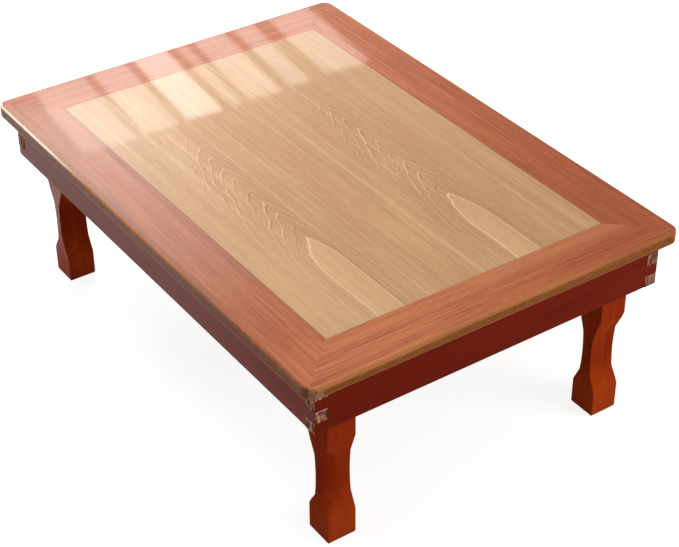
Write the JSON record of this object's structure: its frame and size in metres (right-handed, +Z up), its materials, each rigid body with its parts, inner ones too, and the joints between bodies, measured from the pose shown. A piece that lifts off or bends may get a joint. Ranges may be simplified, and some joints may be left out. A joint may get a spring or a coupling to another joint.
{
  "type": "low folding table",
  "caption": "Low rectangular wooden floor table with a framed panel top, a finger-jointed apron and waisted legs that fold inwards under the board.",
  "frame": {"origin": "on the floor under the middle of the board", "axes": "+X along the table, +Y across it, +Z up; the picture looks at the -Y long side and the +X short end"},
  "size_m": [0.7, 0.5, 0.252],
  "materials": {
    "light_oak": "clear gloss lacquer over a flame-figured light veneer",
    "red_border": "clear gloss lacquer over red-brown stained veneer",
    "edge_wood": "satin lacquer on a rounded khaki-brown edge",
    "rail_wood": "satin dark red-brown stain, with paler end grain at the finger joints",
    "leg_wood": "satin orange-red stain",
    "plain_wood": "unfinished, sanded",
    "hinge_steel": "zinc-plated pressed steel",
    "spring_steel": "blued spring steel",
    "foot_rubber": "matt black rubber"
  },
  "bodies": {
    "tabletop": {"core_board": "plain_wood", "centre_panel": "light_oak", "border_front": "red_border", "border_back": "red_border", "border_left": "red_border", "border_right": "red_border", "edge_front": "edge_wood", "edge_back": "edge_wood", "edge_left": "edge_wood", "edge_right": "edge_wood", "rail_front": "rail_wood", "rail_back": "rail_wood", "rail_left": "rail_wood", "rail_right": "rail_wood", "cross_batten": "plain_wood", "glue_blocks": "plain_wood", "bracket_front_left": "hinge_steel", "bracket_front_right": "hinge_steel", "bracket_back_left": "hinge_steel", "bracket_back_right": "hinge_steel", "pivot_pin_front_left": "hinge_steel", "pivot_pin_front_right": "hinge_steel", "pivot_pin_back_left": "hinge_steel", "pivot_pin_back_right": "hinge_steel", "leaf_spring_front_left": "spring_steel", "leaf_spring_front_right": "spring_steel", "leaf_spring_back_left": "spring_steel", "leaf_spring_back_right": "spring_steel", "pin_washers": "hinge_steel", "spring_rivets": "hinge_steel", "bracket_screws": "hinge_steel"},
    "front_left_leg": {"leg_front_left": "leg_wood", "foot_pad_front_left": "foot_rubber"},
    "front_right_leg": {"leg_front_right": "leg_wood", "foot_pad_front_right": "foot_rubber"},
    "back_left_leg": {"leg_back_left": "leg_wood", "foot_pad_back_left": "foot_rubber"},
    "back_right_leg": {"leg_back_right": "leg_wood", "foot_pad_back_right": "foot_rubber"}
  },
  "joints": [
    {"name": "fold_front_left", "type": "hinge", "parent": "tabletop", "child": "front_left_leg", "pos_m": [-0.30115, -0.18855, 0.206], "axis": [0, -1, 0], "range_deg": [0, 90]},
    {"name": "fold_front_right", "type": "hinge", "parent": "tabletop", "child": "front_right_leg", "pos_m": [0.30115, -0.18855, 0.206], "axis": [0, 1, 0], "range_deg": [0, 90]},
    {"name": "fold_back_left", "type": "hinge", "parent": "tabletop", "child": "back_left_leg", "pos_m": [-0.30115, 0.18855, 0.206], "axis": [0, -1, 0], "range_deg": [0, 90]},
    {"name": "fold_back_right", "type": "hinge", "parent": "tabletop", "child": "back_right_leg", "pos_m": [0.30115, 0.18855, 0.206], "axis": [0, 1, 0], "range_deg": [0, 90]}
  ]
}
